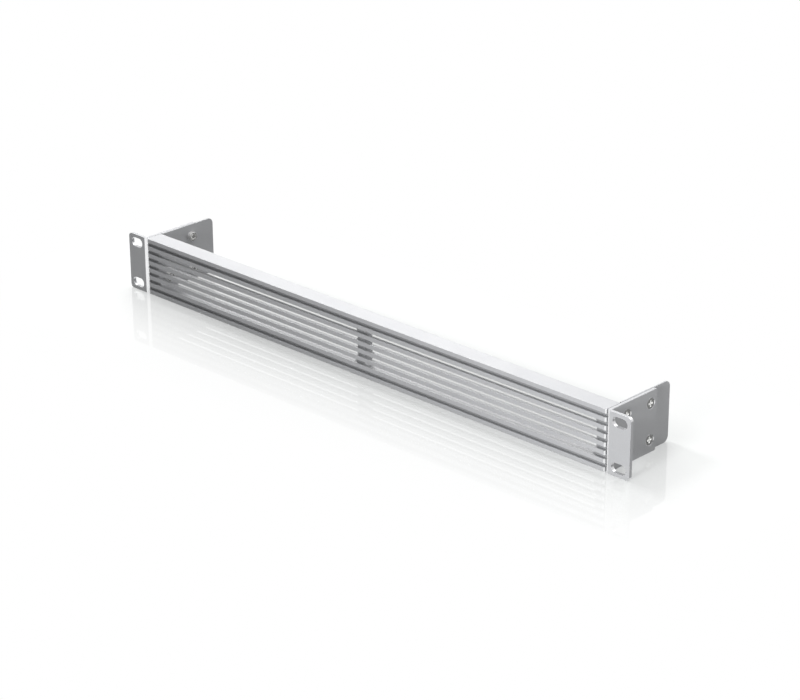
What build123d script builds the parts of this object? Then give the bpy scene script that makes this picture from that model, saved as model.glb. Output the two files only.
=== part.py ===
from build123d import *
import os

# Vented blanking panel, one rack unit high, for a 19 inch rack. Sizes in millimetres.
# X runs along the panel, +Y points back into the rack, +Z is up. The origin is the middle of
# the four rack slots, on the back face of the ears, which is the face that meets the rack rail.

# Overall sizes
rack_width = 482.6
panel_height = 43.7
body_depth = 64.3
ear_reach = 20.2

# Slots in the ears for the rack screws, placed from the end and the long edges of the ear.
# They come out 465 apart along X and 31.75 apart along Z, as the rack standard asks.
slot_end_inset = 8.8
slot_edge_inset = 5.975
slot_length = 12.0
slot_width = 7.0

# Brackets, each an ear and a side wall folded from one strip
bracket_thickness = 2.5
bracket_bend_inside = 0.3
bracket_depth = 48.0
bracket_rear_corner = 1.0
ear_corner = 3.0

# Slatted front: a channel with a grooved face, closed windows at the back of the grooves
groove_count = 7
groove_height = 2.7
groove_depth = 2.6
rib_edge_radius = 0.2
end_corner_radius = 1.0
end_clearance = 0.1
web_thickness = 1.9
flange_depth = 13.8
flange_thickness = 1.6

# Windows behind the middle grooves, with a strap between them and a border at each end
window_grooves = 5
window_margin = 0.4
window_corner = 5.0
window_end_border = 9.1
strap_width = 5.4

# Rear frame, folded from thinner sheet
frame_thickness = 1.2
frame_bend_inside = 0.8
frame_rear_corner = 4.5
frame_clearance = 0.2
frame_window_margin = 0.3
flange_relief = 1.2
strap_flange_depth = 7.2
strap_bend_inside = 0.4
strap_flange_relief = 1.0

# Countersunk screws that hold each bracket, two by two, placed from the edges of its side wall
screw_front_inset = 18.1
screw_rear_inset = 5.9
screw_edge_inset = 8.95
screw_radius = 1.95
screw_head_radius = 3.75
screw_length = 6.0
screw_tip_chamfer = 0.4
screw_hole_radius = 2.25
countersink_radius = 4.1
countersink_angle = 90
cone_clearance = 0.05
recess_arm_length = 4.2
recess_arm_width = 1.0
recess_depth = 1.5
recess_taper = 6

# Clinch nuts pressed into the side walls of the frame
nut_body_radius = 3.45
nut_body_length = 3.3
nut_neck_radius = 2.65
nut_bore_radius = 2.05
nut_edge_chamfer = 0.35
nut_bore_chamfer = 0.45
nut_hole_clearance = 0.05

# Small pan head screws that hold the frame in the channel
frame_screw_radius = 0.95
frame_screw_head_radius = 1.9
frame_screw_head_height = 1.3
frame_screw_head_rounding = 0.6
frame_screw_length = 4.0
frame_screw_inset = 5.0
frame_screw_slack = 0.2
tapped_hole_clearance = 0.05
tapped_hole_spare_depth = 0.4
frame_recess_width = 0.6
frame_recess_length = 2.0
frame_recess_depth = 0.7

# Places worked out from the sizes
half_height = panel_height / 2
body_half = rack_width / 2 - ear_reach
slot_x = rack_width / 2 - slot_end_inset
slot_spacing_z = panel_height - 2 * slot_edge_inset
front_y = -bracket_thickness
rear_y = front_y + body_depth
rib_height = (panel_height - groove_count * groove_height) / (groove_count + 1)
rib_pitch = rib_height + groove_height
front_half = body_half - end_clearance
groove_floor_y = front_y + groove_depth
web_rear_y = groove_floor_y + web_thickness
flange_rear_y = front_y + flange_depth
window_ribs = window_grooves - 1
window_height = window_grooves * groove_height + window_ribs * rib_height + 2 * window_margin
window_end = front_half - window_end_border
window_length = window_end - strap_width / 2
window_middle = (window_end + strap_width / 2) / 2
frame_wall_rear_y = web_rear_y + frame_thickness
bracket_outer = body_half + bracket_thickness
screw_spacing_y = bracket_depth - screw_front_inset - screw_rear_inset
screw_spacing_z = panel_height - 2 * screw_edge_inset
screw_middle_y = front_y + screw_front_inset + screw_spacing_y / 2
screw_face = bracket_outer - (countersink_radius - screw_head_radius) + cone_clearance
nut_seat = body_half - frame_thickness
frame_screw_x = body_half - frame_screw_inset
second_rib_z = half_height - rib_pitch - rib_height / 2

sides = {"left": -1, "right": 1}
rows = {"front": -1, "rear": 1}
levels = {"lower": -1, "upper": 1}

os.makedirs("parts", exist_ok=True)


# Slatted front
with BuildPart() as slatted_front:
    # Channel section: eight ribs at the front, and a flange along the top and the bottom
    with BuildSketch(Plane.YZ) as section:
        with Locations((front_y, 0)):
            Rectangle(flange_depth, panel_height, align=(Align.MIN, Align.CENTER))
        with Locations((web_rear_y, 0)):
            Rectangle(
                flange_rear_y - web_rear_y,
                panel_height - 2 * flange_thickness,
                align=(Align.MIN, Align.CENTER),
                mode=Mode.SUBTRACT,
            )
        with Locations((front_y, 0)):
            with GridLocations(0, rib_pitch, 1, groove_count):
                Rectangle(
                    groove_depth,
                    groove_height,
                    align=(Align.MIN, Align.CENTER),
                    mode=Mode.SUBTRACT,
                )
        fillet(section.vertices().group_by(Axis.X)[0], radius=rib_edge_radius)
    extrude(amount=front_half, both=True)
    # The two upright front corners are rounded, so every rib ends in a small radius
    with BuildSketch(Plane.XY) as plan:
        with Locations((0, front_y)):
            Rectangle(2 * front_half, flange_depth, align=(Align.CENTER, Align.MIN))
        fillet(plan.vertices().group_by(Axis.Y)[0], radius=end_corner_radius)
    extrude(amount=half_height, both=True, mode=Mode.INTERSECT)
    # Windows through the web alone, so the ribs cross them as slats
    with BuildSketch(Plane.XZ.offset(-web_rear_y)):
        with GridLocations(2 * window_middle, 0, 2, 1):
            RectangleRounded(window_length, window_height, window_corner)
    extrude(amount=web_thickness, mode=Mode.SUBTRACT)
    # Blind tapped holes for the frame's screws, in the second rib from the top and the bottom
    with BuildSketch(Plane.XZ.offset(-web_rear_y)):
        with GridLocations(2 * frame_screw_x, 2 * second_rib_z, 2, 2):
            Circle(frame_screw_radius + tapped_hole_clearance)
    extrude(
        amount=frame_screw_length - frame_thickness + tapped_hole_spare_depth,
        mode=Mode.SUBTRACT,
    )

slatted_front.part.label = "slatted_front"
export_step(slatted_front.part, "parts/slatted_front.step")


# Rear frame
with BuildPart() as rear_frame:
    # Front wall and two side walls, in plan
    with BuildSketch(Plane.XY):
        with BuildLine():
            FilletPolyline(
                (-body_half, rear_y),
                (-body_half, web_rear_y),
                (body_half, web_rear_y),
                (body_half, rear_y),
                radius=frame_bend_inside + frame_thickness,
            )
            offset(amount=frame_thickness, side=Side.LEFT)
        make_face()
    extrude(amount=half_height, both=True)
    # Inside the channel the sheet is lower, and a relief keeps it off the flanges' rear edges
    with BuildSketch(Plane.YZ):
        with Locations((web_rear_y, half_height), (web_rear_y, -half_height)):
            Rectangle(
                2 * (flange_rear_y + flange_relief - web_rear_y),
                2 * (flange_thickness + frame_clearance),
            )
    extrude(amount=body_half, both=True, mode=Mode.SUBTRACT)
    # Windows, a little larger than those of the slatted front at their outer edges
    with BuildSketch(Plane.XZ.offset(-frame_wall_rear_y)):
        with GridLocations(2 * window_middle + frame_window_margin, 0, 2, 1):
            RectangleRounded(
                window_length + frame_window_margin,
                window_height + 2 * frame_window_margin,
                window_corner,
            )
    extrude(amount=frame_thickness, mode=Mode.SUBTRACT)
    # The strap between the windows is folded back on both sides to stiffen the front
    with BuildSketch(Plane.XZ.offset(-frame_wall_rear_y)):
        Rectangle(strap_width, window_height - 2 * strap_flange_relief)
    extrude(amount=frame_thickness, mode=Mode.SUBTRACT)
    with BuildSketch(Plane.XY):
        with BuildLine():
            FilletPolyline(
                (-strap_width / 2, web_rear_y + strap_flange_depth),
                (-strap_width / 2, web_rear_y),
                (strap_width / 2, web_rear_y),
                (strap_width / 2, web_rear_y + strap_flange_depth),
                radius=strap_bend_inside + frame_thickness,
            )
            offset(amount=frame_thickness, side=Side.LEFT)
        make_face()
    extrude(amount=window_height / 2 - strap_flange_relief, both=True)
    # Rounded rear corners of the side walls
    fillet(rear_frame.edges().filter_by(Axis.X).group_by(Axis.Y)[-1], radius=frame_rear_corner)
    # Seats of the clinch nuts, through both side walls
    with BuildSketch(Plane.YZ):
        with Locations((screw_middle_y, 0)):
            with GridLocations(screw_spacing_y, screw_spacing_z, 2, 2):
                Circle(nut_neck_radius + nut_hole_clearance)
    extrude(amount=body_half, both=True, mode=Mode.SUBTRACT)
    # Holes for the small screws
    with BuildSketch(Plane.XZ.offset(-frame_wall_rear_y)):
        with GridLocations(2 * frame_screw_x, 2 * second_rib_z, 2, 2):
            Circle(frame_screw_radius + frame_screw_slack)
    extrude(amount=frame_thickness, mode=Mode.SUBTRACT)

rear_frame.part.label = "rear_frame"
export_step(rear_frame.part, "parts/rear_frame.step")


# Right bracket, and the left one as its mirror image
with BuildPart() as right_bracket:
    with BuildSketch(Plane.XY):
        with BuildLine():
            FilletPolyline(
                (rack_width / 2, front_y),
                (body_half, front_y),
                (body_half, front_y + bracket_depth),
                radius=bracket_bend_inside + bracket_thickness,
            )
            offset(amount=bracket_thickness, side=Side.RIGHT)
        make_face()
    extrude(amount=half_height, both=True)
    fillet(right_bracket.edges().filter_by(Axis.Y).group_by(Axis.X)[-1], radius=ear_corner)
    fillet(
        right_bracket.edges().filter_by(Axis.X).group_by(Axis.Y)[-1],
        radius=bracket_rear_corner,
    )
    with BuildSketch(Plane.XZ):
        with Locations((slot_x, 0)):
            with GridLocations(0, slot_spacing_z, 1, 2):
                SlotOverall(slot_length, slot_width)
    extrude(amount=bracket_thickness, mode=Mode.SUBTRACT)
    outer_face = Plane((bracket_outer, screw_middle_y, 0), x_dir=(0, 1, 0), z_dir=(1, 0, 0))
    with Locations(outer_face):
        with GridLocations(screw_spacing_y, screw_spacing_z, 2, 2):
            CounterSinkHole(
                screw_hole_radius,
                countersink_radius,
                depth=bracket_thickness,
                counter_sink_angle=countersink_angle,
            )

right_bracket.part.label = "right_bracket"
export_step(right_bracket.part, "parts/right_bracket.step")

with BuildPart() as left_bracket:
    mirror(right_bracket.part, about=Plane.YZ)

left_bracket.part.label = "left_bracket"
export_step(left_bracket.part, "parts/left_bracket.step")


def bracket_screw(side, y, z):
    """Countersunk cross recess screw, driven inwards through the bracket's wall."""
    cone_height = screw_head_radius - screw_radius
    tip = screw_face - screw_length
    with BuildPart() as screw:
        # Half section along the screw: X outwards from the panel's middle, Y from the axis
        with BuildSketch(Plane((0, y, z), x_dir=(side, 0, 0), z_dir=(0, 0, 1))):
            with BuildLine():
                Polyline(
                    (tip, 0),
                    (tip, screw_radius - screw_tip_chamfer),
                    (tip + screw_tip_chamfer, screw_radius),
                    (screw_face - cone_height, screw_radius),
                    (screw_face, screw_head_radius),
                    (screw_face, 0),
                    close=True,
                )
            make_face()
        revolve(axis=Axis((0, y, z), (1, 0, 0)))
        with BuildSketch(Plane((side * screw_face, y, z), x_dir=(0, 1, 0), z_dir=(side, 0, 0))):
            Rectangle(recess_arm_length, recess_arm_width)
            Rectangle(recess_arm_width, recess_arm_length)
        extrude(amount=-recess_depth, taper=recess_taper, mode=Mode.SUBTRACT)
    return screw.part


def clinch_nut(side, y, z):
    """Round nut whose neck fills the hole in the frame and whose body stands inwards."""
    with BuildPart() as nut:
        with BuildSketch(Plane((0, y, z), x_dir=(side, 0, 0), z_dir=(0, 0, 1))):
            with BuildLine():
                Polyline(
                    (nut_seat - nut_body_length, nut_bore_radius + nut_bore_chamfer),
                    (nut_seat - nut_body_length, nut_body_radius - nut_edge_chamfer),
                    (nut_seat - nut_body_length + nut_edge_chamfer, nut_body_radius),
                    (nut_seat, nut_body_radius),
                    (nut_seat, nut_neck_radius),
                    (body_half, nut_neck_radius),
                    (body_half, nut_bore_radius),
                    (nut_seat - nut_body_length + nut_bore_chamfer, nut_bore_radius),
                    close=True,
                )
            make_face()
        revolve(axis=Axis((0, y, z), (1, 0, 0)))
    return nut.part


def frame_screw(x, z):
    """Small pan head screw, driven forwards through the frame into a rib."""
    head_y = frame_wall_rear_y + frame_screw_head_height
    with BuildPart() as screw:
        with BuildSketch(Plane.XZ.offset(-frame_wall_rear_y)):
            with Locations((x, z)):
                Circle(frame_screw_radius)
        extrude(amount=frame_screw_length)
        with BuildSketch(Plane.XZ.offset(-head_y)):
            with Locations((x, z)):
                Circle(frame_screw_head_radius)
        extrude(amount=frame_screw_head_height)
        fillet(screw.edges().group_by(Axis.Y)[-1], radius=frame_screw_head_rounding)
        with BuildSketch(Plane.XZ.offset(-head_y)):
            with Locations((x, z)):
                Rectangle(frame_recess_length, frame_recess_width)
                Rectangle(frame_recess_width, frame_recess_length)
        extrude(amount=frame_recess_depth, mode=Mode.SUBTRACT)
    return screw.part


# Fasteners, each a piece of its own
for side_name, side in sides.items():
    for row_name, row in rows.items():
        for level_name, level in levels.items():
            y = screw_middle_y + row * screw_spacing_y / 2
            z = level * screw_spacing_z / 2
            place = f"{side_name}_{row_name}_{level_name}"
            screw = bracket_screw(side, y, z)
            screw.label = f"bracket_screw_{place}"
            export_step(screw, f"parts/bracket_screw_{place}.step")
            nut = clinch_nut(side, y, z)
            nut.label = f"clinch_nut_{place}"
            export_step(nut, f"parts/clinch_nut_{place}.step")
    for level_name, level in levels.items():
        screw = frame_screw(side * frame_screw_x, level * second_rib_z)
        screw.label = f"frame_screw_{side_name}_{level_name}"
        export_step(screw, f"parts/frame_screw_{side_name}_{level_name}.step")
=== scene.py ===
import math

import bpy
import numpy as np
from mathutils import Matrix, Vector


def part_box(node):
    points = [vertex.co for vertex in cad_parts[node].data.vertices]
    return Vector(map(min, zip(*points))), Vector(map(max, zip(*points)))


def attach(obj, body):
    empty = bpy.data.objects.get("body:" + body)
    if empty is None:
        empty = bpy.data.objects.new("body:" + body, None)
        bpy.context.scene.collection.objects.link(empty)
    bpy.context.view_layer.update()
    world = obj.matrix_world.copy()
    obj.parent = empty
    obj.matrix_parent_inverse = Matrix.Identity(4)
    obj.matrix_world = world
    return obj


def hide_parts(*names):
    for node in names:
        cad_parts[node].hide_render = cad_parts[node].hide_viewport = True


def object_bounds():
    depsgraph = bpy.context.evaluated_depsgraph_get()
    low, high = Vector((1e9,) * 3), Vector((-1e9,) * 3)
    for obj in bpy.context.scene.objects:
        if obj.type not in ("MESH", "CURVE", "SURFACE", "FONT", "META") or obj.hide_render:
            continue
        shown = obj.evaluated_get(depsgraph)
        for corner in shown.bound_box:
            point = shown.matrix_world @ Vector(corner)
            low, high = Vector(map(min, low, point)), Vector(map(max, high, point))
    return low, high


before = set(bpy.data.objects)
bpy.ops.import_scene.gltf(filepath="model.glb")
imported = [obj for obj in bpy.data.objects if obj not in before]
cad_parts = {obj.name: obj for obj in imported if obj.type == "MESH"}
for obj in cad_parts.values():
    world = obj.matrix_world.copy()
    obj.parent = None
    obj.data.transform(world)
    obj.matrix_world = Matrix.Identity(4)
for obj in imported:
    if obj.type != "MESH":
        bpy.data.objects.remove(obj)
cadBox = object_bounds()
print("frame loaded:", len(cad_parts), "nodes")

millimetre = 0.001


# sRGB hex to linear: c / 12.92 up to 0.04045, and ((c + 0.055) / 1.055) ^ 2.4 above it
def linearColour(hexText):
    parts = [int(hexText[start:start + 2], 16) / 255 for start in (1, 3, 5)]
    linear = [c / 12.92 if c <= 0.04045 else ((c + 0.055) / 1.055) ** 2.4 for c in parts]
    return (*linear, 1)


# One node with its settings, and a value or a link for each input, by name or in order
def addNode(tree, kind, inputs=(), **settings):
    node = tree.nodes.new(kind)
    for name, value in settings.items():
        setattr(node, name, value)
    for name, value in inputs.items() if isinstance(inputs, dict) else enumerate(inputs):
        if isinstance(value, bpy.types.NodeSocket):
            tree.links.new(value, node.inputs[name])
        else:
            node.inputs[name].default_value = value
    return node.outputs


def newMaterial(name):
    material = bpy.data.materials.new(name)
    material.use_nodes = True
    material.node_tree.nodes.clear()
    return material, material.node_tree


# Place on the object in mm, so that every size below is in mm too
def placeInMillimetres(tree):
    place = addNode(tree, "ShaderNodeTexCoord")["Object"]
    return addNode(tree, "ShaderNodeVectorMath", {0: place, "Scale": 1 / millimetre}, operation="SCALE")[0]


# Where every mask holds: their product
def allOf(tree, mask, *others):
    for other in others:
        mask = addNode(tree, "ShaderNodeMath", (mask, other), operation="MULTIPLY")[0]
    return mask


# A noise's colour, between its dark and its light tone
def toneOf(tree, value, look):
    share = addNode(tree, "ShaderNodeMapRange", (value, *look["toneEnds"]))[0]
    tones = {"Factor": share, "A": linearColour(look["dark"]), "B": linearColour(look["light"])}
    return addNode(tree, "ShaderNodeMix", tones, data_type="RGBA")["Result"]


# Clear anodised aluminium, blasted with beads before it was anodised. The blasting gives a fine even
# grain that spreads every reflection. Bends and rounded upright edges near the ends, and the walls of
# the slots in the ears, carry a painted highlight, and the floor of the grooves carries painted shade.
# The dents are drawn coarser than real ones, so that they show.
anodisedLook = {
    "light": "#C7C8CA",            # crests of the grain
    "dark": "#BDBEC1",             # pits of the grain
    "toneEnds": (0.35, 0.65),      # values of the noise where it is all dark and all light
    "metallic": 0.06,
    "roughness": (0.33, 0.39),     # in the pits and on the crests
    "grain": (0.45, 2.0),          # mm, the size of a bead's dent, and its detail
    "cloud": (38.0, 3.0),          # mm, slow change of tone over the sheet, and its detail
    "cloudShare": 0.4,
    "depth": 0.012,                # mm, of a bead's dent
    "dentStrength": 0.5,
    # painted highlight, pale and more metallic, on bends, upright edges and slot walls
    "edgeHighlightTone": "#F4F4F5",
    "edgeRoughness": 0.22,
    "edgeSlant": (0.03, 0.15),     # |x y| of the normal, where the painted highlight on edges starts and is full
    "slotSlant": (0.12, 0.3),      # the same for |x z|, on the walls of slots and on cut corners
    "slotShare": 0.6,
    "edgeLean": (0.15, 0.3),       # |z| of the normal, past which a bend is no upright edge
    "highlightBeyond": (100.0, 100.05),    # mm to both sides, past which bends carry the painted highlight
    "earStart": (223.5, 223.55),   # mm to both sides, where the flat of the ears begins
    "earBehind": (3.0, 3.05),      # mm along Y, behind the slots in the ears
    # painted shade in the grooves, darkest at their floor
    "grooveShadeTone": "#A1A2A4",
    "grooveDepth": (-2.4, 0.1),    # mm along Y, at the mouth and at the floor
    "grooveBehind": (0.3, 0.35),   # mm along Y, past which a face is no groove
    "grooveTop": (20.5, 20.55),    # mm, half the height that the grooves take up
    "seamTone": "#4A4B4D",         # shadow in the joint between the side wall and its bracket
    "seamPlace": 221.125,          # mm to both sides
    "seamHalf": (0.175, 0.225),    # mm from there, where the shadow is full and where it ends
    "seamFacing": (0.4, 0.6),      # |x| of the normal, past which a face is a wall and not its edge
}


# From 0 to the share, as |first second| of the normal passes from one end to the other
def slanted(tree, first, second, ends, share):
    product = addNode(tree, "ShaderNodeMath", (first, second), operation="MULTIPLY")[0]
    slant = addNode(tree, "ShaderNodeMath", (product,), operation="ABSOLUTE")[0]
    return addNode(tree, "ShaderNodeMapRange", (slant, *ends, 0.0, share))[0]


# Mask of the painted highlight: 0 on flat faces and countersinks, up to 1 on bends and upright
# edges, and up to the slots' share on the walls of the slots and the ears' corners
def highlightMask(tree, at, look):
    normal = addNode(tree, "ShaderNodeNewGeometry")["Normal"]
    facing = addNode(tree, "ShaderNodeSeparateXYZ", (normal,))
    lean = addNode(tree, "ShaderNodeMath", (facing["Z"],), operation="ABSOLUTE")[0]
    upright = addNode(tree, "ShaderNodeMapRange", (lean, *look["edgeLean"], 1.0, 0.0))[0]
    across = addNode(tree, "ShaderNodeMath", (at["X"],), operation="ABSOLUTE")[0]
    highlightBeyond = addNode(tree, "ShaderNodeMapRange", (across, *look["highlightBeyond"]))[0]
    onEar = addNode(tree, "ShaderNodeMapRange", (across, *look["earStart"]))[0]
    frontal = addNode(tree, "ShaderNodeMapRange", (at["Y"], *look["earBehind"], 1.0, 0.0))[0]
    bend = slanted(tree, facing["X"], facing["Y"], look["edgeSlant"], 1.0)
    slot = slanted(tree, facing["X"], facing["Z"], look["slotSlant"], look["slotShare"])
    both = (allOf(tree, bend, upright, highlightBeyond), allOf(tree, slot, frontal, onEar))
    return addNode(tree, "ShaderNodeMath", both, operation="MAXIMUM")[0]


# Mask of the painted shade in the grooves: 0 at their mouth, 1 at their floor, and 0 on every face outside
# them
def grooveDepth(tree, at, look):
    depth = addNode(tree, "ShaderNodeMapRange", (at["Y"], *look["grooveDepth"]))[0]
    frontal = addNode(tree, "ShaderNodeMapRange", (at["Y"], *look["grooveBehind"], 1.0, 0.0))[0]
    height = addNode(tree, "ShaderNodeMath", (at["Z"],), operation="ABSOLUTE")[0]
    between = addNode(tree, "ShaderNodeMapRange", (height, *look["grooveTop"], 1.0, 0.0))[0]
    return allOf(tree, depth, frontal, between)


# 1 along the joint between the side wall and its bracket, on edges and not on the walls themselves
def seam(tree, at, look):
    across = addNode(tree, "ShaderNodeMath", (at["X"],), operation="ABSOLUTE")[0]
    offset = addNode(tree, "ShaderNodeMath", (across, look["seamPlace"]), operation="SUBTRACT")[0]
    away = addNode(tree, "ShaderNodeMath", (offset,), operation="ABSOLUTE")[0]
    near = addNode(tree, "ShaderNodeMapRange", (away, *look["seamHalf"], 1.0, 0.0))[0]
    normal = addNode(tree, "ShaderNodeNewGeometry")["True Normal"]
    sideways = addNode(tree, "ShaderNodeSeparateXYZ", (normal,))["X"]
    facing = addNode(tree, "ShaderNodeMath", (sideways,), operation="ABSOLUTE")[0]
    onEdge = addNode(tree, "ShaderNodeMapRange", (facing, *look["seamFacing"], 1.0, 0.0))[0]
    return allOf(tree, near, onEdge)


def anodisedAluminium(name, look, grooved):
    material, tree = newMaterial(name)
    place = placeInMillimetres(tree)
    at = addNode(tree, "ShaderNodeSeparateXYZ", (place,))
    grain, cloud = (
        addNode(tree, "ShaderNodeTexNoise", {"Vector": place, "Scale": 1 / size, "Detail": detail})["Fac"]
        for size, detail in (look["grain"], look["cloud"])
    )
    shares = {"Factor": look["cloudShare"], "A": grain, "B": cloud}
    colour = toneOf(tree, addNode(tree, "ShaderNodeMix", shares)["Result"], look)
    # painted highlight on edges and slot walls, also made more metallic and smoother below
    edge = highlightMask(tree, at, look)
    layers = [(look["edgeHighlightTone"], edge), (look["seamTone"], seam(tree, at, look))]
    # painted shade in the grooves, only on the slatted front
    if grooved:
        layers.insert(0, (look["grooveShadeTone"], grooveDepth(tree, at, look)))
    for tone, share in layers:
        layer = {"Factor": share, "A": colour, "B": linearColour(tone)}
        colour = addNode(tree, "ShaderNodeMix", layer, data_type="RGBA")["Result"]
    dull = addNode(tree, "ShaderNodeMapRange", (grain, 0.0, 1.0, *look["roughness"]))[0]
    rough = {"Factor": edge, "A": dull, "B": look["edgeRoughness"]}
    dents = {"Strength": look["dentStrength"], "Distance": look["depth"] * millimetre, "Height": grain}
    shader = addNode(tree, "ShaderNodeBsdfPrincipled", {
        "Base Color": colour,
        "Metallic": addNode(tree, "ShaderNodeMapRange", (edge, 0.0, 1.0, look["metallic"], 1.0))[0],
        "Roughness": addNode(tree, "ShaderNodeMix", rough)["Result"],
        "Normal": addNode(tree, "ShaderNodeBump", dents)["Normal"],
    })
    addNode(tree, "ShaderNodeOutputMaterial", {"Surface": shader["BSDF"]})
    return material


# Nickel plate on turned steel, broken by the turning marks under it. By the normal, the flat ends are
# painted grey as shade, and the round sides and the walls of the recess pale as a painted highlight.
# The marks are drawn coarser than real ones, so that they show.
nickelLook = {
    "light": "#7C7C7B",
    "dark": "#6C6C6B",
    "toneEnds": (0.35, 0.65),   # values of the noise where it is all dark and all light
    # painted highlight on the round sides and in the recess
    "roundHighlightTone": "#F0F0EF",
    "metallic": 0.85,
    "dullRound": 0.1,           # how metallic the round sides are on the nuts and the frame screws
    "brightRound": 1.0,         # the same on the bracket screws
    "flatEnd": (0.9, 0.97),     # |x| of the normal, where the painted highlight of the sides ends and the grey end is full
    "roughness": (0.21, 0.31),  # from mark to mark
    "marks": (0.25, 2.0),       # mm, width of a turning mark, and its detail
}


def nickelPlatedSteel(name, look, roundMetallic):
    material, tree = newMaterial(name)
    size, detail = look["marks"]
    pattern = {"Vector": placeInMillimetres(tree), "Scale": 1 / size, "Detail": detail}
    marks = addNode(tree, "ShaderNodeTexNoise", pattern)["Fac"]
    normal = addNode(tree, "ShaderNodeNewGeometry")["Normal"]
    alongX = addNode(tree, "ShaderNodeSeparateXYZ", (normal,))["X"]
    facing = addNode(tree, "ShaderNodeMath", (alongX,), operation="ABSOLUTE")[0]
    # round sides pale as painted highlight, flat ends grey as painted shade, by the normal
    side = addNode(tree, "ShaderNodeMapRange", (facing, *look["flatEnd"], 1.0, 0.0))[0]
    tones = {"Factor": side, "A": toneOf(tree, marks, look), "B": linearColour(look["roundHighlightTone"])}
    metal = (side, 0.0, 1.0, look["metallic"], roundMetallic)
    shader = addNode(tree, "ShaderNodeBsdfPrincipled", {
        "Base Color": addNode(tree, "ShaderNodeMix", tones, data_type="RGBA")["Result"],
        "Metallic": addNode(tree, "ShaderNodeMapRange", metal)[0],
        "Roughness": addNode(tree, "ShaderNodeMapRange", (marks, 0.0, 1.0, *look["roughness"]))[0],
    })
    addNode(tree, "ShaderNodeOutputMaterial", {"Surface": shader["BSDF"]})
    return material


anodised = anodisedAluminium("clearAnodisedAluminium", anodisedLook, False)
anodisedGrooved = anodisedAluminium("clearAnodisedGroovedAluminium", anodisedLook, True)
dullNickel = nickelPlatedSteel("dullNickelPlate", nickelLook, nickelLook["dullRound"])
brightNickel = nickelPlatedSteel("brightNickelPlate", nickelLook, nickelLook["brightRound"])

for nodeName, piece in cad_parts.items():
    finish = anodisedGrooved if nodeName == "slatted_front" else anodised
    if "bracket_screw" in nodeName:
        finish = brightNickel
    if "nut" in nodeName or "frame_screw" in nodeName:
        finish = dullNickel
    for materialSlot in piece.material_slots:
        materialSlot.material = finish
print("materials on the frame's nodes")


# Height of a V thread over its root, from 0 to 1 and back over each pitch: 1 - |2 fract(t) - 1|,
# where t = distance / pitch + angle / (2 pi)
def threadHeight(distance, angle, pitch):
    turn = distance / pitch + angle / (2 * np.pi)
    return 1 - np.abs(2 * (turn - np.floor(turn)) - 1)


# A surface turned around a node's own axis. along and radius are arrays of rows by angles, in metres:
# along is |x|, and a point lies at (side * along, y + radius cos angle, z + radius sin angle).
# A closed loop joins the last row to the first, and a solid has a point at each end instead.
def turnedPiece(name, nodeName, along, radius, angle, loop, sharpAngle, finish):
    low, high = (np.array(corner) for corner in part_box(nodeName))
    middle = (low + high) / 2
    side = np.sign(middle[0])
    order = -1 if side > 0 else 1
    points = np.stack([
        side * along,
        middle[1] + radius * np.cos(angle),
        middle[2] + radius * np.sin(angle),
    ], axis=-1).reshape(-1, 3)
    rows, turns = along.shape
    index = np.arange(rows * turns).reshape(rows, turns)
    beside = np.roll(index, -1, axis=1)
    upper, upperBeside = (index, beside) if loop else (index[:-1], beside[:-1])
    lower, lowerBeside = (np.roll(part, -1, axis=0) if loop else part[1:] for part in (index, beside))
    quads = np.stack([upper, upperBeside, lowerBeside, lower], axis=-1).reshape(-1, 4)
    faces = quads[:, ::order].tolist()
    if not loop:
        ends = np.array([(side * along[row, 0], middle[1], middle[2]) for row in (0, -1)])
        first, last = np.full(turns, len(points)), np.full(turns, len(points) + 1)
        points = np.vstack([points, ends])
        faces += np.stack([first, beside[0], index[0]], axis=-1)[:, ::order].tolist()
        faces += np.stack([last, index[-1], beside[-1]], axis=-1)[:, ::order].tolist()
    mesh = bpy.data.meshes.new(name)
    mesh.from_pydata(points.tolist(), [], faces)
    mesh.materials.append(finish)
    mesh.shade_smooth()
    mesh.set_sharp_from_angle(angle=math.radians(sharpAngle))
    piece = bpy.data.objects.new(name, mesh)
    bpy.context.scene.collection.objects.link(piece)
    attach(piece, "root")
    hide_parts(nodeName)


# Countersunk screws with a cross recess, in mm from the panel's middle outwards
screwShape = {
    "headRadius": 3.75,
    "bevel": 0.08,         # between the face and the rim, and the face's first radius
    "rim": 0.15,           # height of the upright rim with its bevel
    "shankRadius": 1.95,
    "pitch": 0.7,
    "threadDepth": 0.38,
    "threadStart": 0.05,   # from the end of the cone
    "tipTaper": 0.5,
    "recessReach": 2.1,    # from the axis to the end of an arm
    "armHalf": 0.5,
    "rimDepth": 0.3,       # of the recess, where an arm ends
    "middleDepth": 1.5,
    "wallWidth": 0.14,     # over which the recess's walls drop
    "angles": 96,
    "faceRows": 26,
    "rowsPerPitch": 8,
    "sharpAngle": 35,      # degrees between faces, past which an edge stays sharp
}


# 1 inside a recess and 0 outside, over its wall's width: inset / width + 1 / 2, kept from 0 to 1
def insideWall(inset, look):
    return np.clip(inset / look["wallWidth"] + 0.5, 0, 1)


# Depth of the cross recess at (u, v) on the head: (rim + (middle - rim)(1 - r / reach)) times the
# larger of two arms, where an arm is 1 within its half width and falls to 0 over the wall's width
def recessDepth(radius, angle, look):
    u, v = radius * np.cos(angle), radius * np.sin(angle)
    slope = np.clip(1 - radius / look["recessReach"], 0, 1)
    floor = look["rimDepth"] + (look["middleDepth"] - look["rimDepth"]) * slope
    inArm = [insideWall(look["armHalf"] - np.abs(across), look) for across in (u, v)]
    return floor * np.maximum(*inArm) * insideWall(look["recessReach"] - radius, look)


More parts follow.
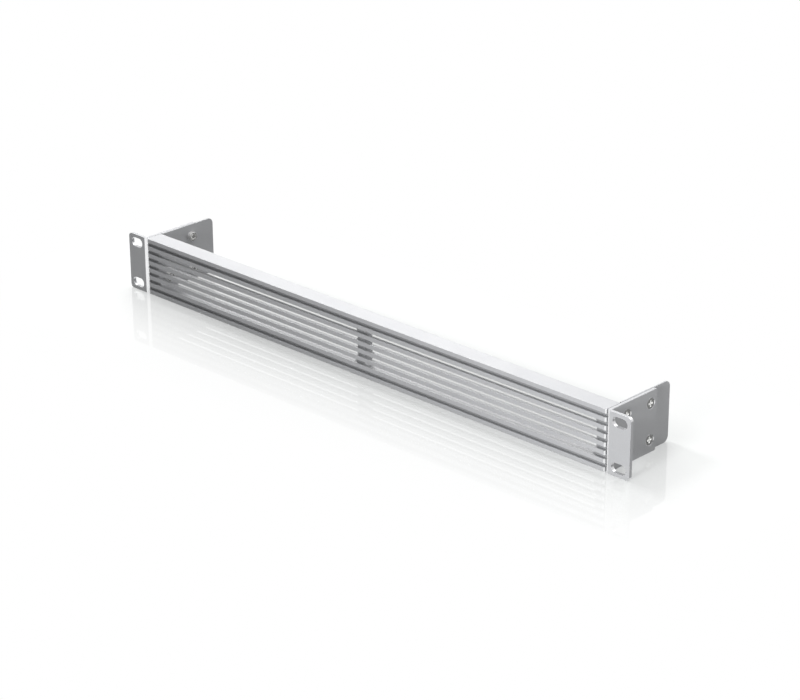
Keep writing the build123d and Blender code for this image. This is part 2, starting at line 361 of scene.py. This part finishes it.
# Rows from the middle of the head's face over the rim and down the cone, then along the thread, whose
# radius is crest - depth * (1 - thread height), with the crest drawn in towards the tip
def bracketScrew(nodeName, look):
    low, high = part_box(nodeName)
    tip, face = sorted((abs(low[0]) / millimetre, abs(high[0]) / millimetre))
    angle = np.linspace(0, 2 * np.pi, look["angles"], endpoint=False)
    faceRows = np.linspace(look["bevel"], look["headRadius"] - look["bevel"], look["faceRows"])
    faceRadius = faceRows[:, None] + 0 * angle
    faceAlong = face - recessDepth(faceRadius, angle, look)
    neck = face - look["rim"] - (look["headRadius"] - look["shankRadius"])
    rim = np.array([
        (face - look["bevel"], look["headRadius"]),
        (face - look["rim"], look["headRadius"]),
        (neck, look["shankRadius"]),
    ])
    steps = int((neck - tip) / look["pitch"] * look["rowsPerPitch"])
    threadAlong = np.linspace(neck - look["threadStart"], tip, steps)[:, None] + 0 * angle
    nearTip = np.clip(1 - (threadAlong - tip) / look["tipTaper"], 0, 1)
    crest = look["shankRadius"] - look["tipTaper"] * nearTip
    cut = look["threadDepth"] * (1 - threadHeight(threadAlong, angle, look["pitch"]))
    along = np.vstack([faceAlong, rim[:, :1] + 0 * angle, threadAlong]) * millimetre
    radius = np.vstack([faceRadius, rim[:, 1:] + 0 * angle, crest - cut]) * millimetre
    name = nodeName + "_turned"
    turnedPiece(name, nodeName, along, radius, angle, False, look["sharpAngle"], brightNickel)


# Round clinch nuts in mm: a body with broken edges that stands inwards, and a thread in the bore
nutShape = {
    "bodyRadius": 3.45,
    "neckRadius": 2.65,
    "neckLength": 1.2,
    "edge": 0.35,          # rounding of the body's outer edge
    "edgeRows": 6,
    "boreEdge": 0.45,      # bevel at the mouth of the bore
    "crestRadius": 1.99,   # inner edge of the thread
    "threadDepth": 0.36,
    "pitch": 0.7,
    "angles": 72,
    "rowsPerPitch": 8,
    "sharpAngle": 35,      # degrees between faces, past which an edge stays sharp
}


# Rows round the body from the seat on the wall over the rounded edge to the bevel of the bore, through
# the bore, whose radius is root - depth * thread height, and back over the neck
def clinchNut(nodeName, look):
    low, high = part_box(nodeName)
    inner, outer = sorted((abs(low[0]) / millimetre, abs(high[0]) / millimetre))
    seat = outer - look["neckLength"]
    angle = np.linspace(0, 2 * np.pi, look["angles"], endpoint=False)
    bend = np.linspace(0, np.pi / 2, look["edgeRows"])
    rounding = np.stack([
        inner + look["edge"] * (1 - np.sin(bend)),
        look["bodyRadius"] - look["edge"] * (1 - np.cos(bend)),
    ], axis=-1)
    root = look["crestRadius"] + look["threadDepth"]
    outline = np.vstack([
        [(seat, look["neckRadius"]), (seat, look["bodyRadius"])],
        rounding,
        [(inner, root + look["boreEdge"] / 2)],
    ])
    steps = int((outer - inner) / look["pitch"] * look["rowsPerPitch"])
    boreAlong = np.linspace(inner + look["boreEdge"] / 2, outer, steps)[:, None] + 0 * angle
    boreRadius = root - look["threadDepth"] * threadHeight(boreAlong, angle, look["pitch"])
    neck = np.array([(outer, look["neckRadius"])])
    along = np.vstack([outline[:, :1] + 0 * angle, boreAlong, neck[:, :1] + 0 * angle]) * millimetre
    radius = np.vstack([outline[:, 1:] + 0 * angle, boreRadius, neck[:, 1:] + 0 * angle]) * millimetre
    name = nodeName + "_turned"
    turnedPiece(name, nodeName, along, radius, angle, True, look["sharpAngle"], dullNickel)


for nodeName in list(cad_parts):
    if nodeName.startswith("bracket_screw"):
        bracketScrew(nodeName, screwShape)
    if nodeName.startswith("clinch_nut"):
        clinchNut(nodeName, nutShape)
print("threaded screws and nuts")


studio = {
    "floorTone": "#C9CBCA",
    "floorGlow": (0.235, 0.318),  # its own light to the camera, under the middle, lowered as painted shadow, and away from it
    "glowMiddle": 0.04,           # metres along X
    "glowReach": (0.14, 0.28),    # metres from there to both sides, between which the glow changes
    "glowBehind": (0.06, 0.1),    # metres along Y, the same behind the object
    "bayGlow": 0.03,              # between the brackets: painted shadow, where the panel keeps the light out
    "bayFront": (-0.002, 0.012),  # metres along Y, where that shade starts and is full
    "bayBack": (0.056, 0.1),      # metres along Y, where it begins to end and is gone
    "bayEnds": (0.16, 0.22),      # metres along X, the same to both sides
    "bayReach": 0.01,             # metres, how much later the floor turns white behind the object
    "bounceTone": "#646463",      # what the floor throws back on the object
    "floorHalf": 6.0,             # metres
    "floorRoughness": 0.01,
    "floorIor": 1.8,
    "fadeEnd": 0.1,               # metres from the object, where the floor has passed into pure white
    "skyFill": 0.225,             # how far the pale room lights the object
}
white = (1, 1, 1, 1)


# 1 where the camera, a reflection or a view through something looks, and 0 where light only bounces
def seenRay(tree):
    path = addNode(tree, "ShaderNodeLightPath")
    seen = path["Is Camera Ray"]
    for other in (path["Is Glossy Ray"], path["Is Transmission Ray"]):
        seen = addNode(tree, "ShaderNodeMath", (seen, other), operation="MAXIMUM")[0]
    return seen


# Distance on the floor from the object's box, which reaches further behind: the length of
# max(|place - middle| - half of the size, 0), with the height left out
def distanceFromBox(tree, place, box, reach):
    low, high = (Vector((corner[0], corner[1] + more, 0)) for corner, more in zip(box, (0, reach)))
    none = Vector((0, 0, 0))
    steps = (
        ("SUBTRACT", (low + high) / 2),
        ("ABSOLUTE", none),
        ("MULTIPLY", Vector((1, 1, 0))),
        ("SUBTRACT", (high - low) / 2),
        ("MAXIMUM", none),
    )
    for operation, other in steps:
        place = addNode(tree, "ShaderNodeVectorMath", (place, other), operation=operation)[0]
    return addNode(tree, "ShaderNodeVectorMath", (place,), operation="LENGTH")["Value"]


# Where the floor's painted shadow lies: 1 between the brackets, and softly 0 to its ends, in front and
# behind
def bayShade(tree, at, look):
    across = addNode(tree, "ShaderNodeMath", (at["X"],), operation="ABSOLUTE")[0]
    borders = (
        (across, *look["bayEnds"], 1.0, 0.0),
        (at["Y"], *look["bayFront"], 0.0, 1.0),
        (at["Y"], *look["bayBack"], 1.0, 0.0),
    )
    soft = {"interpolation_type": "SMOOTHSTEP"}
    return allOf(tree, *(addNode(tree, "ShaderNodeMapRange", border, **soft)[0] for border in borders))


# The floor's own light, which keeps the shadow faint. It is lowered under the middle and between the
# brackets, as painted shadow.
def glowStrength(tree, at, look):
    offset = addNode(tree, "ShaderNodeMath", (at["X"], look["glowMiddle"]), operation="SUBTRACT")[0]
    sideways = addNode(tree, "ShaderNodeMath", (offset,), operation="ABSOLUTE")[0]
    ends = addNode(tree, "ShaderNodeMapRange", (sideways, *look["glowReach"]))[0]
    behind = addNode(tree, "ShaderNodeMapRange", (at["Y"], *look["glowBehind"]))[0]
    outer = addNode(tree, "ShaderNodeMath", (ends, behind), operation="MAXIMUM")[0]
    openGlow = addNode(tree, "ShaderNodeMapRange", (outer, 0.0, 1.0, *look["floorGlow"]))[0]
    shade = {"Factor": bayShade(tree, at, look), "A": openGlow, "B": look["bayGlow"]}
    return addNode(tree, "ShaderNodeMix", shade)["Result"]


# Glossy laminate, pale to the camera and in reflections, that throws less light back. Away from the
# object it passes into pure white.
def glossLaminate(look, box):
    material, tree = newMaterial("paleGlossLaminate")
    seen = seenRay(tree)
    place = addNode(tree, "ShaderNodeTexCoord")["Object"]
    at = addNode(tree, "ShaderNodeSeparateXYZ", (place,))
    tones = {
        "Factor": seen,
        "A": linearColour(look["bounceTone"]),
        "B": linearColour(look["floorTone"]),
    }
    shader = addNode(tree, "ShaderNodeBsdfPrincipled", {
        "Base Color": addNode(tree, "ShaderNodeMix", tones, data_type="RGBA")["Result"],
        "Roughness": look["floorRoughness"],
        "IOR": look["floorIor"],
        "Emission Color": white,
        "Emission Strength": allOf(tree, glowStrength(tree, at, look), seen),
    })
    distance = distanceFromBox(tree, place, box, look["bayReach"])
    away = addNode(tree, "ShaderNodeMapRange", (distance, 0.0, look["fadeEnd"]))[0]
    light = addNode(tree, "ShaderNodeEmission", {"Color": white, "Strength": 1.0})["Emission"]
    both = addNode(tree, "ShaderNodeMixShader", (allOf(tree, away, seen), shader["BSDF"], light))
    addNode(tree, "ShaderNodeOutputMaterial", {"Surface": both["Shader"]})
    return material


# A flat square under the object's lowest point
def makeFloor(look, box):
    half, height = look["floorHalf"], box[0][2]
    corners = [(x, y, height) for x, y in ((-half, -half), (half, -half), (half, half), (-half, half))]
    mesh = bpy.data.meshes.new("floor")
    mesh.from_pydata(corners, [], [(0, 1, 2, 3)])
    mesh.materials.append(glossLaminate(look, box))
    floor = bpy.data.objects.new("floor", mesh)
    bpy.context.scene.collection.objects.link(floor)


# A pale room: white to the camera and in reflections, and dimmer as a light
def makeRoom(look):
    world = bpy.data.worlds.new("paleRoom")
    world.use_nodes = True
    tree = world.node_tree
    tree.nodes.clear()
    strength = addNode(tree, "ShaderNodeMapRange", (seenRay(tree), 0.0, 1.0, look["skyFill"], 1.0))[0]
    background = addNode(tree, "ShaderNodeBackground", {"Color": white, "Strength": strength})
    addNode(tree, "ShaderNodeOutputWorld", {"Surface": background["Background"]})
    bpy.context.scene.world = world


# Each lamp's kind, place, aim, strength or watts, width and height in metres or angle in degrees,
# spread in degrees, and whether reflections show it. The front lamp would stand as a white spot in
# the glossy floor.
lamps = {
    "overhead": ("SUN", (0.5, 0.85, 3.0), (0, 0, 0), 1.54, (75,), 0, True),
    "rightFront": ("AREA", (0.42, -1.15, 0.28), (0.36, 0, 0), 1.17, (0.35, 0.35), 54, False),
    "backLeft": ("AREA", (-1.76, 1.5, 1.55), (0, 0, 0), 6.8, (1.3, 0.35), 120, True),
    "topLeft": ("AREA", (-1.55, 0.1, 1.7), (-0.22, 0.01, 0), 8.0, (0.6, 0.6), 120, True),
}


def makeLamp(name, kind, place, aim, power, size, spread, reflected):
    light = bpy.data.lights.new(name, kind)
    light.energy = power
    if kind == "SUN":
        light.angle = math.radians(size[0])
    else:
        light.shape = "ELLIPSE"
        light.size, light.size_y = size
        light.spread = math.radians(spread)
    lamp = bpy.data.objects.new(name, light)
    lamp.location = place
    lamp.visible_glossy = reflected
    lamp.rotation_euler = (Vector(aim) - Vector(place)).to_track_quat("-Z", "Y").to_euler()
    bpy.context.scene.collection.objects.link(lamp)


makeFloor(studio, cadBox)
makeRoom(studio)
for lampName, lampValues in lamps.items():
    makeLamp(lampName, *lampValues)
print("floor, room and lamps")


viewpoint = {
    "eye": (1.12538, -1.11749, 0.67510),
    "yaw": 0.77169,      # radians, turned left from looking along +Y
    "pitch": 0.40445,    # radians below level
    "roll": -0.00405,    # radians
    "lens": 112.577,     # mm
    "sensor": 36.0,      # mm wide
    "clip": (0.05, 50),  # metres
}


def makeCamera(look):
    camera = bpy.data.cameras.new("camera")
    camera.sensor_width = look["sensor"]
    camera.lens = look["lens"]
    camera.clip_start, camera.clip_end = look["clip"]
    holder = bpy.data.objects.new("camera", camera)
    turns = ((look["yaw"], "Z"), (math.pi / 2 - look["pitch"], "X"), (look["roll"], "Z"))
    matrix = Matrix.Translation(look["eye"])
    for turn, axis in turns:
        matrix = matrix @ Matrix.Rotation(turn, 4, axis)
    holder.matrix_world = matrix
    bpy.context.scene.collection.objects.link(holder)
    bpy.context.scene.camera = holder


makeCamera(viewpoint)
bpy.context.scene.view_settings.view_transform = "Standard"
print("camera")
